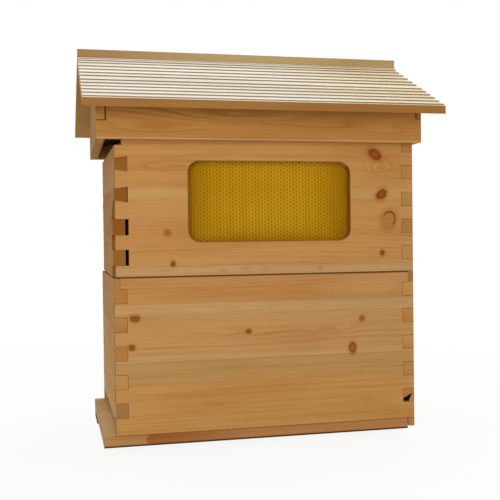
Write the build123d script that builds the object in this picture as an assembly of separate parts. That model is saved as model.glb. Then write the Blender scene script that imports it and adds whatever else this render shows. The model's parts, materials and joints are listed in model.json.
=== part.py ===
"""A two-box timber beehive with a comb window, split honey combs and a stepped gable roof.

Millimetres. +Z is up, +X runs along the window side and away from the bee entrance, and the
window looks towards -Y. The origin lies on the ground, under the middle of the roof.
"""
from build123d import *
import math
import os

# Boxes
box_length = 512.0
box_depth = 340.0
wall = 20.0
brood_height = 252.8
super_height = 245.0
entrance_height = 20.0

# Frame rests cut into the end walls
rest_depth = 10.4
brood_rest_height = 17.0
super_rest_drop = 34.0
key_notch = 11.5

# Corner joints
pin_height = 23.5
pin_gap = 0.2
top_margin = 12.0
brood_first_pin = 28.5
brood_pin_pitch = 46.0
super_first_pin = 20.0
super_pin_pitch = 46.0

# The low end wall of the super: straight pins at its foot, dovetails above them
super_left_inset = 3.1
low_wall_pitch = 49.0
low_wall_pairs = 2
foot_pin_level = 17.8
foot_pin_height = 25.5
foot_socket_spare = 1.2
dovetail_level = 122.8
dovetail_height = 18.0
dovetail_angle = 9.0
warp_start = 145.0
warp_end = 92.0
foot_stand_out = 4.3
foot_draw_in = 3.0

# A chip out of the rear wall's lowest pin
chip_width = 16.0
chip_height = 14.5
chip_foot = 9.5
chip_heel = 6.5
chip_depth = 18.0

# Floor
floor_thickness = 19.0
floor_recess = 5.0
landing = 19.0
lip_thickness = 9.5
lip_drop = 13.8
lip_clearance = 0.5
batten_height = 13.0
batten_width = 76.0
batten_inset_back = 9.0
batten_inset_front = 60.0
batten_setback_back = 2.5
batten_setback_front = 6.0

# Brood frames
brood_frame_pitch = 38.0
lug_clearance = 5.0
top_bar_width = 25.0
top_bar_height = 19.0
lug_height = 10.0
side_bar_thickness = 9.5
side_bar_width = 35.0
side_bar_waist = 28.0
shoulder_height = 70.0
brood_floor_space = 17.0
brood_end_space = 11.0
bottom_bar_width = 19.0
bottom_bar_height = 10.0
foundation_thickness = 4.0
foundation_margin = 3.0

# Queen excluder
excluder_thickness = 2.4
excluder_inset = 1.5
excluder_rim = 45.0
slot_width = 4.2
slot_length = 60.0
slot_bridge = 11.0
slot_row_pitch = 19.0

# Window
window_width = 278.0
window_height = 133.0
window_radius = 15.0
window_sill = 54.0
window_shift = 3.6
pane_thickness = 3.0
pane_lap = 10.0
pane_clearance = 0.3

# Honey frames
flow_frame_width = 49.2
flow_frame_gap = 0.8
flow_end_clearance = 9.0
flow_floor_clearance = 8.0
flow_above_rest = 24.0
flow_end_plate = 12.0
flow_top_bar = 20.0
flow_trough = 18.0
flow_lug_height = 12.0
flow_lug_width = 25.0
flow_lug_bearing = 5.5
comb_recess = 1.0
comb_rail = 8.0
comb_finger = 11.0
comb_running_gap = 0.1
comb_travel = 3.2
comb_stop = 1.0
outlet_radius = 11.0
outlet_level = 18.0
cap_length = 5.0
key_cap_width = 24.0
key_cap_height = 9.0
key_cap_drop = 22.0

# Harvest panel in the end wall away from the entrance
harvest_side = 12.0
harvest_sill = 24.0
harvest_head = 14.0
panel_thickness = 12.0
panel_lap = 5.0
panel_clearance = 0.5
finger_hole_radius = 11.0
finger_hole_drop = 28.0

# Inner cover and roof
cover_thickness = 8.0
cover_inset = 1.0
cover_hole_radius = 38.0
skirt_thickness = 12.0
gable_thickness = 14.0
thin_gable_thickness = 8.5
left_gable_draw_in = 6.0
skirt_overlap = 26.0
fascia_height = 64.1
fascia_tail = 28.0
right_fascia_tail = 39.0
finger_side_gap = 1.6
finger_foot_gap = 1.2
roof_play_x = 11.8
roof_play_y = 12.0
roof_gap = 0.4
left_overhang = 22.0
right_overhang = 23.7
eave_overhang = 45.5
back_eave_overhang = 35.5
roof_pitch = 25.1
board_thickness = 13.5
step_rise = 2.0
step_pitch = 19.07
eave_nose = 6.07
lower_board_steps = 6
ridge_lap = 18.0
cleat_width = 18.0
cleat_height = 20.0

# Levels, from the ground up
floor_bottom = batten_height
floor_top = floor_bottom + floor_thickness
brood_top = floor_top + brood_height
super_bottom = brood_top + excluder_thickness
super_top = super_bottom + super_height
cover_top = super_top + cover_thickness
skirt_bottom = super_top - skirt_overlap
super_rest_level = super_height - super_rest_drop

# Plan, laid out about the ridge: the boxes stand against the roof's thinner gable board
skirt_length = gable_thickness + roof_play_x + box_length + roof_gap + thin_gable_thickness
roof_x = (left_overhang + skirt_length + right_overhang) / 2
skirt_left = left_overhang - roof_x
skirt_right = skirt_left + skirt_length
right = skirt_right - thin_gable_thickness - roof_gap
left = right - box_length
box_x = (left + right) / 2
super_left = left + super_left_inset
super_x = (super_left + right) / 2
front = -box_depth / 2
back = box_depth / 2
inner_left = left + wall
inner_right = right - wall
inner_front = front + wall
inner_back = back - wall
inner_length = inner_right - inner_left
inner_depth = inner_back - inner_front
skirt_y = (box_depth + roof_play_y) / 2 + skirt_thickness
eave_y = skirt_y + eave_overhang
back_eave_y = skirt_y + back_eave_overhang

slope = math.radians(roof_pitch)
board_plumb = board_thickness / math.cos(slope)
apex = skirt_bottom + fascia_height + board_plumb + skirt_y * math.tan(slope)


def block(x0, x1, y0, y1, z0, z1):
    """A box between two corners."""
    centre = ((x0 + x1) / 2, (y0 + y1) / 2, (z0 + z1) / 2)
    return Pos(*centre) * Box(x1 - x0, y1 - y0, z1 - z0)


def plate_y(points, y0, y1):
    """An outline of (x, z) points, as thick as the stretch from y0 to y1."""
    outline = Polyline(*[(x, y0, z) for x, z in points], close=True)
    return extrude(make_face(outline), amount=y1 - y0, dir=(0, 1, 0))


def plate_x(points, x0, x1, skew=0.0):
    """An outline of (y, z) points, as thick as from x0 to x1; skew moves it along x for each unit of y."""
    outline = Polyline(*[(x0 + skew * y, y, z) for y, z in points], close=True)
    return extrude(make_face(outline), amount=x1 - x0, dir=(1, 0, 0))


# Corner joints


def pin_levels(first, pitch, height):
    """Undersides of the pins that fit a wall of this height."""
    count = int((height - top_margin - pin_height - first) // pitch) + 1
    return [first + pitch * i for i in range(count)]


def pins(outer, inward, base, levels):
    """The pins at both ends of an end wall."""
    ends = sorted((outer, outer + inward * wall))
    solids = []
    for level in levels:
        low = base + level + pin_gap
        high = base + level + pin_height - pin_gap
        solids.append(block(*ends, front, inner_front, low, high))
        solids.append(block(*ends, inner_back, back, low, high))
    return solids


def sockets(outer, inward, base, levels, y0, y1):
    """The sockets that the pins pass through in a side wall."""
    ends = sorted((outer, outer + inward * (wall + pin_gap)))
    return [block(*ends, y0, y1, base + level, base + level + pin_height) for level in levels]


def stand_out(level, foot):
    """How far the super's warped end wall stands out: nothing at its head, so much at its foot."""
    share = (warp_start - level) / (warp_start - warp_end)
    return foot * min(1.0, max(0.0, share))


def low_wall_joints():
    """The joints of the low end wall, as (underside, height, flare for each unit of depth, spare depth)."""
    flare = math.tan(math.radians(dovetail_angle))
    steps = [low_wall_pitch * i for i in range(low_wall_pairs)]
    foot = [(foot_pin_level + step, foot_pin_height, 0.0, foot_socket_spare) for step in steps]
    return foot + [(dovetail_level + step, dovetail_height, flare, pin_gap) for step in steps]


def flared(face, x0, x1, low, high, flare):
    """A joint from x0 to x1 as seen from the front; its levels are given at the pin's face."""
    start = (x0 - face) * flare
    end = (x1 - face) * flare
    return [(x0, low - start), (x0, high + start), (x1, high + end), (x1, low - end)]


def low_wall_pins(y0, y1, foot):
    """The low end wall's pins through one side wall, which follow its warp there."""
    solids = []
    for level, height, flare, spare in low_wall_joints():
        face = super_left - stand_out(level + height / 2, foot)
        low = super_bottom + level + pin_gap
        high = super_bottom + level + height - pin_gap
        solids.append(plate_y(flared(face, face, face + wall, low, high, flare), y0, y1))
    return solids


def low_wall_sockets(y0, y1, foot):
    """The sockets for these pins: a gap stays where a pin stands out or is drawn in."""
    solids = []
    for level, height, flare, spare in low_wall_joints():
        face = super_left - stand_out(level + height / 2, foot)
        outer = min(face, super_left)
        inner = max(face, super_left) + wall + spare
        low = super_bottom + level
        solids.append(plate_y(flared(face, outer, inner, low, low + height, flare), y0, y1))
    return solids


brood_levels = pin_levels(brood_first_pin, brood_pin_pitch, brood_height)
super_right_levels = pin_levels(super_first_pin, super_pin_pitch, super_height)


# Floor

floor_front = front + floor_recess
floor_back = back - floor_recess


def floor_board():
    """The floor, which runs out past the entrance as a landing."""
    end = right - lip_thickness - lip_clearance
    return block(left - landing, end, floor_front, floor_back, floor_bottom, floor_top)


def floor_batten(y0, setback):
    """A batten under the floor."""
    end = right - lip_thickness - lip_clearance
    return block(left - landing + setback, end, y0, y0 + batten_width, 0, floor_bottom)


# Brood box


def brood_side_wall(y0, y1):
    """A long wall of the brood box."""
    body = block(left, right, y0, y1, floor_top, brood_top)
    lip = wall - rest_depth
    rest = brood_top - brood_rest_height
    for outer, inward in ((left, 1), (right, -1)):
        body -= sockets(outer, inward, floor_top, brood_levels, y0, y1)
        ends = sorted((outer, outer + inward * lip))
        body -= block(*ends, y0, y1, rest, brood_top)
    return body


def brood_end_wall(outer, inward, bottom):
    """An end wall of the brood box, with the rest for the frame lugs along its top."""
    ends = sorted((outer, outer + inward * wall))
    rest = brood_top - brood_rest_height
    body = block(*ends, inner_front, inner_back, bottom, rest)
    lip = sorted((outer, outer + inward * (wall - rest_depth)))
    body += block(*lip, front, back, rest, brood_top)
    body += pins(outer, inward, floor_top, brood_levels)
    return body


def brood_rear_wall():
    """The closed end of the brood box: a lip hooks over the floor's end, and one pin has lost a chip."""
    lip = block(right - lip_thickness, right, front, back, floor_top - lip_drop, floor_top)
    foot = floor_top + brood_levels[0]
    chip_outline = [
        (inner_right, foot),
        (inner_right, foot + chip_heel),
        (inner_right + chip_width, foot + chip_height),
        (inner_right + chip_foot, foot),
    ]
    return brood_end_wall(right, -1, floor_top) + lip - plate_y(chip_outline, front, front + chip_depth)


brood_frame_count = int(inner_depth // brood_frame_pitch)
brood_frame_top = brood_top - brood_rest_height + lug_height
brood_frame_bottom = floor_top + brood_floor_space
brood_frame_length = inner_length - 2 * brood_end_space
top_bar_length = inner_length + 2 * (rest_depth - lug_clearance)


def brood_frame(y):
    """A timber frame: a top bar with lugs, two shouldered side bars and a bottom bar."""
    rest = brood_top - brood_rest_height
    top = brood_frame_top
    bottom = brood_frame_bottom
    half = brood_frame_length / 2
    half_bar = top_bar_length / 2
    low = top - top_bar_height
    bar_outline = [
        (box_x - half_bar, rest),
        (box_x - half, rest),
        (box_x - half, low),
        (box_x + half, low),
        (box_x + half, rest),
        (box_x + half_bar, rest),
        (box_x + half_bar, top),
        (box_x - half_bar, top),
    ]
    top_bar = plate_y(bar_outline, y - top_bar_width / 2, y + top_bar_width / 2)
    wide = side_bar_width / 2
    waist = side_bar_waist / 2
    knee = low - shoulder_height
    side_outline = [
        (y - wide, low),
        (y + wide, low),
        (y + wide, knee),
        (y + waist, knee - (wide - waist)),
        (y + waist, bottom),
        (y - waist, bottom),
        (y - waist, knee - (wide - waist)),
        (y - wide, knee),
    ]
    side_left = plate_x(side_outline, box_x - half, box_x - half + side_bar_thickness)
    side_right = plate_x(side_outline, box_x + half - side_bar_thickness, box_x + half)
    inner = half - side_bar_thickness
    width = bottom_bar_width / 2
    bar_top = bottom + bottom_bar_height
    bottom_bar = block(box_x - inner, box_x + inner, y - width, y + width, bottom, bar_top)
    return Compound(children=[top_bar, side_left, side_right, bottom_bar])


def foundation(y):
    """The sheet that the bees build on, inside one brood frame."""
    half = brood_frame_length / 2 - side_bar_thickness - foundation_margin
    low = brood_frame_bottom + bottom_bar_height
    high = brood_frame_top - top_bar_height
    width = foundation_thickness / 2
    return block(box_x - half, box_x + half, y - width, y + width, low, high)


def queen_excluder():
    """A thin sheet between the boxes, with rows of slots that worker bees pass and a queen cannot."""
    length = right - super_left - 2 * excluder_inset
    depth = box_depth - 2 * excluder_inset
    columns = int((length - 2 * excluder_rim + slot_bridge) // (slot_length + slot_bridge))
    rows = int((depth - 2 * excluder_rim) // slot_row_pitch) + 1
    grid = GridLocations(slot_length + slot_bridge, slot_row_pitch, columns, rows)
    sheet = Rectangle(length, depth) - grid * Rectangle(slot_length, slot_width)
    return Pos(super_x, 0, brood_top) * extrude(sheet, excluder_thickness)


# Honey super

window_x = box_x + window_shift
window_middle = super_bottom + window_sill + window_height / 2


def rounded_opening(width, height, radius, y0, y1):
    """A rounded rectangle that stands on the window's centre, from y0 to y1."""
    plane = Plane(origin=(window_x, y1, window_middle), x_dir=(1, 0, 0), z_dir=(0, -1, 0))
    return extrude(plane * RectangleRounded(width, height, radius), y1 - y0)


def super_side_wall(y0, y1, foot):
    """A long wall of the super, cut back above the low end wall, whose foot stands out by so much here."""
    body = block(super_left, right, y0, y1, super_bottom, super_top)
    body -= low_wall_sockets(y0, y1, foot)
    body -= sockets(right, -1, super_bottom, super_right_levels, y0, y1)
    body -= block(super_left, super_left + key_notch, y0, y1, super_bottom + super_rest_level, super_top)
    return body


def super_front_wall():
    """The window wall, with a seat for the pane on its inner side."""
    body = super_side_wall(front, inner_front, foot_stand_out)
    body -= rounded_opening(window_width, window_height, window_radius, front, inner_front)
    seat_width = window_width + 2 * pane_lap
    seat_height = window_height + 2 * pane_lap
    seat_radius = window_radius + pane_lap
    seat_floor = inner_front - pane_thickness
    body -= rounded_opening(seat_width, seat_height, seat_radius, seat_floor, inner_front)
    return body


def window_pane():
    """The clear pane in its seat, flush with the inner side of the wall."""
    width = window_width + 2 * (pane_lap - pane_clearance)
    height = window_height + 2 * (pane_lap - pane_clearance)
    radius = window_radius + pane_lap - pane_clearance
    return rounded_opening(width, height, radius, inner_front - pane_thickness, inner_front)


def super_low_end_wall():
    """The end wall over the entrance, a warped board: the honey frames rest on its top edge."""
    levels = (0.0, warp_end, warp_start, super_rest_level)
    ends = []
    for y, foot in ((inner_front, foot_stand_out), (inner_back, -foot_draw_in)):
        outer = [(super_left - stand_out(level, foot), y, super_bottom + level) for level in levels]
        inner = [(x + wall, y, z) for x, y, z in reversed(outer)]
        ends.append(make_face(Polyline(*outer, *inner, close=True)))
    body = loft(ends, ruled=True)
    body += low_wall_pins(front, inner_front, foot_stand_out)
    body += low_wall_pins(inner_back, back, -foot_draw_in)
    return body


harvest_low = super_bottom + harvest_sill
harvest_high = super_bottom + super_rest_level - harvest_head
harvest_width = inner_depth - 2 * harvest_side


def super_harvest_wall():
    """The end wall with the harvest opening, its panel seat and the frame rest."""
    body = block(inner_right, right, inner_front, inner_back, super_bottom, super_top)
    rest = super_bottom + super_rest_level
    body -= block(inner_right, inner_right + rest_depth, inner_front, inner_back, rest, super_top)
    body += pins(right, -1, super_bottom, super_right_levels)
    half = harvest_width / 2
    body -= block(inner_right, right, -half, half, harvest_low, harvest_high)
    seat = half + panel_lap
    seat_low = harvest_low - panel_lap
    seat_high = harvest_high + panel_lap
    body -= block(right - panel_thickness, right, -seat, seat, seat_low, seat_high)
    return body


def harvest_panel():
    """The panel that fills the harvest opening, pulled out by its finger hole."""
    half = harvest_width / 2 + panel_lap - panel_clearance
    low = harvest_low - panel_lap + panel_clearance
    high = harvest_high + panel_lap - panel_clearance
    body = block(right - panel_thickness, right, -half, half, low, high)
    hole = Cylinder(finger_hole_radius, panel_thickness * 2)
    body -= Pos(right - panel_thickness / 2, 0, high - finger_hole_drop) * Rot(0, 90, 0) * hole
    return body


# Honey frames

flow_half = (right - super_left) / 2 - wall - flow_end_clearance
flow_bottom = super_bottom + flow_floor_clearance
flow_top = super_bottom + super_rest_level + flow_above_rest
comb_half = flow_half - flow_end_plate
comb_bottom = flow_bottom + flow_trough
comb_ceiling = flow_top - flow_top_bar
comb_top = comb_ceiling - comb_travel - comb_stop


def flow_frame(y):
    """The ring that holds one pair of combs, with lugs that rest on the end walls."""
    y0 = y - flow_frame_width / 2
    y1 = y + flow_frame_width / 2
    ring = block(super_x - flow_half, super_x + flow_half, y0, y1, flow_bottom, flow_top)
    ring -= block(super_x - comb_half, super_x + comb_half, y0, y1, comb_bottom, comb_ceiling)
    rest = super_bottom + super_rest_level
    lug = flow_half + flow_end_clearance + flow_lug_bearing
    width = flow_lug_width / 2
    ring += block(super_x - lug, super_x - flow_half, y - width, y + width, rest, rest + flow_lug_height)
    ring += block(super_x + flow_half, super_x + lug, y - width, y + width, rest, rest + flow_lug_height)
    return ring


def comb_fingers():
    """The x stretches of all comb fingers, which alternate between fixed and moving."""
    room = 2 * comb_half - 2 * comb_running_gap
    count = 2 * int(room // (2 * comb_finger))
    start = super_x - count * comb_finger / 2
    return [(start + i * comb_finger, start + (i + 1) * comb_finger) for i in range(count)]


def comb_outline(fingers, rail, tip):
    """A comb from the side: a rail between two levels, with fingers that reach to a tip level."""
    base, root = rail
    reach = comb_half - comb_running_gap
    points = [(super_x - reach, base), (super_x - reach, root)]
    for x0, x1 in fingers:
        points += [
            (x0 + comb_running_gap / 2, root),
            (x0 + comb_running_gap / 2, tip),
            (x1 - comb_running_gap / 2, tip),
            (x1 - comb_running_gap / 2, root),
        ]
    points += [(super_x + reach, root), (super_x + reach, base)]
    return points


def comb_stretch(y):
    """The y stretch of a comb, just inside its frame."""
    half = flow_frame_width / 2 - comb_recess
    return y - half, y + half


def fixed_comb(y):
    """The half of a honey comb that stands on the trough."""
    fingers = comb_fingers()[0::2]
    rail = (comb_bottom, comb_bottom + comb_rail)
    tip = comb_top - comb_rail - comb_stop
    return plate_y(comb_outline(fingers, rail, tip), *comb_stretch(y))


def moving_comb(y):
    """The half of a honey comb that rises by half a cell, so that the cells split and drain."""
    fingers = comb_fingers()[1::2]
    rail = (comb_top, comb_top - comb_rail)
    tip = comb_bottom + comb_rail + comb_stop
    return plate_y(comb_outline(fingers, rail, tip), *comb_stretch(y))


def flow_positions():
    """The y centres of the honey frames."""
    pitch = flow_frame_width + flow_frame_gap
    count = int(inner_depth // pitch)
    return [(i - (count - 1) / 2) * pitch for i in range(count)]


def outlet_caps():
    """A round cap on the honey outlet at the foot of each frame."""
    x = super_x + flow_half + cap_length / 2
    z = flow_bottom + outlet_level + outlet_radius
    cap = Rot(0, 90, 0) * Cylinder(outlet_radius, cap_length)
    return Compound(children=[Pos(x, y, z) * cap for y in flow_positions()])


def key_caps():
    """A plug in the key slot at the head of each frame."""
    x = super_x + flow_half
    low = harvest_high - key_cap_drop
    high = low + key_cap_height
    half = key_cap_width / 2
    caps = [block(x, x + cap_length, y - half, y + half, low, high) for y in flow_positions()]
    return Compound(children=caps)


# Inner cover and roof


def inner_cover():
    """The board that closes the super under the roof."""
    inset = cover_inset
    board = block(super_left + inset, right - inset, front + inset, back - inset, super_top, cover_top)
    return board - Pos(super_x, 0, super_top) * Cylinder(cover_hole_radius, 3 * cover_thickness)


def underside(y):
    """The level of the roof boards' underside."""
    return apex - board_plumb - abs(y) * math.tan(slope)


def on_slope(side, along, above):
    """A point on one slope: its distance down from the apex and above the step tips."""
    y = side * (along * math.cos(slope) + above * math.sin(slope))
    z = apex - along * math.sin(slope) + above * math.cos(slope)
    return y, z


eave_along = eave_y / math.cos(slope)
board_joint = eave_along - eave_nose - lower_board_steps * step_pitch


def stepped_board(side, start, risers, end):
    """A roof board whose top climbs to each riser and drops there; start and end are (along, above)."""
    outline = [(start[0], -board_thickness), start]
    for along in risers:
        outline += [(along, 0.0), (along, -step_rise)]
    outline += [end, (end[0], -board_thickness)]
    return plate_x([on_slope(side, along, above) for along, above in outline], -roof_x, roof_x)


def lower_board(side, eave):
    """The board at the eave, cut plumb there."""
    risers = [board_joint + step_pitch * (i + 1) for i in range(lower_board_steps)]
    run_on = eave_nose + board_thickness
    end = (risers[-1] + run_on, step_rise * (run_on / step_pitch - 1))
    board = stepped_board(side, (board_joint, -step_rise / 2), risers, end)
    y0, y1 = sorted((side * eave, side * (eave_y + board_thickness)))
    return board - block(-roof_x, roof_x, y0, y1, skirt_bottom, apex)


def upper_board(side):
    """The board above it, long enough to pass the ridge; the tread runs on over the board joint."""
    past_ridge = board_joint + (ridge_lap + board_thickness) / math.cos(slope)
    steps = math.ceil(past_ridge / step_pitch)
    risers = [board_joint - step_pitch * (steps - i) for i in range(1, steps)]
    start = (board_joint - step_pitch * steps, -step_rise)
    return stepped_board(side, start, risers, (board_joint, -step_rise / 2))


def back_upper_board():
    """The upper board of the back slope, cut plumb where it laps over the ridge."""
    board = upper_board(1)
    reach = eave_y
    return board - block(-roof_x, roof_x, -reach, -ridge_lap, skirt_bottom, apex + reach)


def front_upper_board():
    """The upper board of the front slope, bevelled to fit under the back one."""
    board = upper_board(-1)
    reach = eave_y
    above_back = [
        (-reach, apex - board_plumb + reach * math.tan(slope)),
        (reach, apex - board_plumb - reach * math.tan(slope)),
        (reach, apex + reach),
        (-reach, apex + reach),
    ]
    return board - plate_x(above_back, -roof_x, roof_x)


def gable_set_in(y):
    """How far the left gable board is drawn in: nothing at the front, most at the back."""
    return left_gable_draw_in * (y + skirt_y) / (2 * skirt_y)


def skirt_board(side):
    """A long skirt board, bevelled to the roof and notched for the gable ends."""
    inner = skirt_y - skirt_thickness
    outline = [
        (side * skirt_y, skirt_bottom),
        (side * inner, skirt_bottom),
        (side * inner, underside(inner)),
        (side * skirt_y, underside(skirt_y)),
    ]
    start = skirt_left + gable_set_in(side * skirt_y)
    body = plate_x(outline, start, skirt_right)
    y0, y1 = sorted((side * inner, side * skirt_y))
    left_notch = start + gable_thickness + finger_side_gap
    right_notch = skirt_right - thin_gable_thickness - finger_side_gap
    body -= block(start, left_notch, y0, y1, skirt_bottom + fascia_tail, apex)
    body -= block(right_notch, skirt_right, y0, y1, skirt_bottom + right_fascia_tail, apex)
    return body


def gable_end(x0, x1, tail, draw_in):
    """A gable board with a finger through each long skirt board; its back end may be drawn in."""
    inner = skirt_y - skirt_thickness
    finger = skirt_bottom + tail + finger_foot_gap
    half = [
        (inner, skirt_bottom),
        (inner, finger),
        (skirt_y, finger),
        (skirt_y, underside(skirt_y)),
    ]
    mirrored = [(-y, z) for y, z in reversed(half)]
    outline = half + [(0.0, underside(0.0))] + mirrored
    return plate_x(outline, x0 + draw_in / 2, x1 + draw_in / 2, draw_in / (2 * skirt_y))


def roof_cleat(side):
    """A cleat inside a long skirt board, which rests on the inner cover."""
    inner = skirt_y - skirt_thickness
    y0, y1 = sorted((side * inner, side * (inner - cleat_width)))
    ends = (skirt_left + gable_set_in(y1) + gable_thickness, skirt_right - thin_gable_thickness)
    return block(*ends, y0, y1, cover_top, cover_top + cleat_height)


# Every piece under its name

nodes = {
    "floor_board": floor_board(),
    "floor_batten_front": floor_batten(floor_front + batten_inset_front, batten_setback_front),
    "floor_batten_back": floor_batten(floor_back - batten_inset_back - batten_width, batten_setback_back),
    "brood_front_wall": brood_side_wall(front, inner_front),
    "brood_back_wall": brood_side_wall(inner_back, back),
    "brood_entrance_wall": brood_end_wall(left, 1, floor_top + entrance_height),
    "brood_rear_wall": brood_rear_wall(),
    "queen_excluder": queen_excluder(),
    "super_front_wall": super_front_wall(),
    "super_back_wall": super_side_wall(inner_back, back, -foot_draw_in),
    "super_low_end_wall": super_low_end_wall(),
    "super_harvest_wall": super_harvest_wall(),
    "window_pane": window_pane(),
    "harvest_panel": harvest_panel(),
    "honey_outlet_caps": outlet_caps(),
    "key_slot_caps": key_caps(),
    "inner_cover": inner_cover(),
    "roof_front_skirt": skirt_board(-1),
    "roof_back_skirt": skirt_board(1),
    "roof_left_gable": gable_end(skirt_left, skirt_left + gable_thickness, fascia_tail, left_gable_draw_in),
    "roof_right_gable": gable_end(skirt_right - thin_gable_thickness, skirt_right, right_fascia_tail, 0.0),
    "roof_front_cleat": roof_cleat(-1),
    "roof_back_cleat": roof_cleat(1),
    "roof_front_lower_board": lower_board(-1, eave_y),
    "roof_back_lower_board": lower_board(1, back_eave_y),
    "roof_front_upper_board": front_upper_board(),
    "roof_back_upper_board": back_upper_board(),
}
for i in range(brood_frame_count):
    place = (i - (brood_frame_count - 1) / 2) * brood_frame_pitch
    nodes[f"brood_frame_{i + 1}"] = brood_frame(place)
    nodes[f"brood_foundation_{i + 1}"] = foundation(place)
for i, place in enumerate(flow_positions()):
    nodes[f"flow_frame_{i + 1}"] = flow_frame(place)
    nodes[f"flow_fixed_comb_{i + 1}"] = fixed_comb(place)
    nodes[f"flow_moving_comb_{i + 1}"] = moving_comb(place)

# The origin lies under the middle of the roof, which reaches further out at the front
ridge_y = (eave_y - back_eave_y) / 2
os.makedirs("parts", exist_ok=True)
for name, shape in nodes.items():
    export_step(Pos(0, ridge_y, 0) * shape, f"parts/{name}.step")
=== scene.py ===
"""Looks of the beehive: pine boards with eased edges, comb cells, a clear pane and a plain studio."""
import json
import math

import bmesh
import bpy
from mathutils import Matrix, Vector

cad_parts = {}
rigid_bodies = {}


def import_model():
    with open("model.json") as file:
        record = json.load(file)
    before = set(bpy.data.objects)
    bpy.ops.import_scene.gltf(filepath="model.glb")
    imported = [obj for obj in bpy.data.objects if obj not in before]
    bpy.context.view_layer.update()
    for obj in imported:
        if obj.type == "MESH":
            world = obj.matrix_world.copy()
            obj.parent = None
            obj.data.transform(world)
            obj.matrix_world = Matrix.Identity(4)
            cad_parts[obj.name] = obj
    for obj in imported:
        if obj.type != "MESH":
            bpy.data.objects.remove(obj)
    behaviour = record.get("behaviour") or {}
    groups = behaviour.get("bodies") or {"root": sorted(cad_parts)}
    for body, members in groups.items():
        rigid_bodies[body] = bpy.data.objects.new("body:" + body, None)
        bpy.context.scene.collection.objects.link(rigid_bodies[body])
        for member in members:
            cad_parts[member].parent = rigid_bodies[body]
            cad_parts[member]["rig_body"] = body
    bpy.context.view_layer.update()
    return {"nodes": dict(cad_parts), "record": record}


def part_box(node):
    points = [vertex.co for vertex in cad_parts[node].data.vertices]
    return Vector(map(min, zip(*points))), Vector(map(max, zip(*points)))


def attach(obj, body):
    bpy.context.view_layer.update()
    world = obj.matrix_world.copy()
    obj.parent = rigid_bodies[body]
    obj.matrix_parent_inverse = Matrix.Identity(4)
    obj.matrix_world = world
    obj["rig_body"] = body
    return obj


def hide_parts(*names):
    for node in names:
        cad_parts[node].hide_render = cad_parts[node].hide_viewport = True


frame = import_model()
cad = frame["nodes"]
slot_of = {part["node"]: part["material_slot"] for part in frame["record"]["subparts"]}
millimetre = 0.001
white = (1.0, 1.0, 1.0, 1.0)


def tone(red, green, blue):
    """A linear colour from its usual values of 0 to 255."""
    shares = [value / 255 for value in (red, green, blue)]
    linear = [s / 12.92 if s <= 0.04045 else ((s + 0.055) / 1.055) ** 2.4 for s in shares]
    return (*linear, 1.0)


# Material building blocks

# From barely facing along an axis to fully facing
facing_span = (0.6, 0.8)


class Nodes:
    """A node tree, with short ways to add nodes to it."""

    def __init__(self, tree):
        self.nodes = tree.nodes
        self.links = tree.links

    def feed(self, socket, value):
        """Links a socket, or sets its plain value."""
        if isinstance(value, bpy.types.NodeSocket):
            self.links.new(value, socket)
        else:
            socket.default_value = value

    def math(self, operation, *values):
        """One sum on numbers."""
        node = self.nodes.new("ShaderNodeMath")
        node.operation = operation
        for socket, value in zip(node.inputs, values):
            self.feed(socket, value)
        return node.outputs[0]

    def times(self, first, second):
        """The product of two numbers."""
        return self.math("MULTIPLY", first, second)

    def step(self, value, low, high, start=0.0, end=1.0):
        """A smooth change from start to end while the value goes from low to high."""
        node = self.nodes.new("ShaderNodeMapRange")
        node.interpolation_type = "SMOOTHSTEP"
        for socket, number in zip(node.inputs, (value, low, high, start, end)):
            self.feed(socket, number)
        return node.outputs[0]

    def border(self, place, low, high, start=0.0, end=1.0):
        """The same smooth change, from low to high in millimetres."""
        return self.step(place, low * millimetre, high * millimetre, start, end)

    def mix(self, factor, first, second, blend="MIX"):
        """A mix of two colours."""
        node = self.nodes.new("ShaderNodeMix")
        node.data_type = "RGBA"
        node.blend_type = blend
        self.feed(node.inputs[0], factor)
        self.feed(node.inputs[6], first)
        self.feed(node.inputs[7], second)
        return node.outputs[2]

    def ramp(self, factor, stops, interpolation="LINEAR"):
        """Colours along a number from 0 to 1."""
        node = self.nodes.new("ShaderNodeValToRGB")
        node.color_ramp.interpolation = interpolation
        elements = node.color_ramp.elements
        elements.remove(elements[1])
        elements[0].position = stops[0][0]
        elements[0].color = stops[0][1]
        for position, colour in stops[1:]:
            elements.new(position).color = colour
        self.feed(node.inputs[0], factor)
        return node.outputs[0]

    def point(self, x, y, z):
        """A place made of three numbers."""
        node = self.nodes.new("ShaderNodeCombineXYZ")
        for socket, value in zip(node.inputs, (x, y, z)):
            self.feed(socket, value)
        return node.outputs[0]

    def noise(self, place, scale=1.0, detail=2.0):
        """Soft noise from 0 to 1."""
        node = self.nodes.new("ShaderNodeTexNoise")
        self.feed(node.inputs["Vector"], place)
        node.inputs["Scale"].default_value = scale
        node.inputs["Detail"].default_value = detail
        return node.outputs[0]

    def drawn_noise(self, axes, factors, shift=0.0, detail=2.0):
        """Soft noise that is drawn out along some axes."""
        scaled = [self.times(axis, factor) for axis, factor in zip(axes, factors)]
        scaled[2] = self.math("ADD", scaled[2], shift)
        return self.noise(self.point(*scaled), detail=detail)

    def rays(self):
        """What is known of the ray that arrives."""
        return self.nodes.new("ShaderNodeLightPath").outputs


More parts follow.
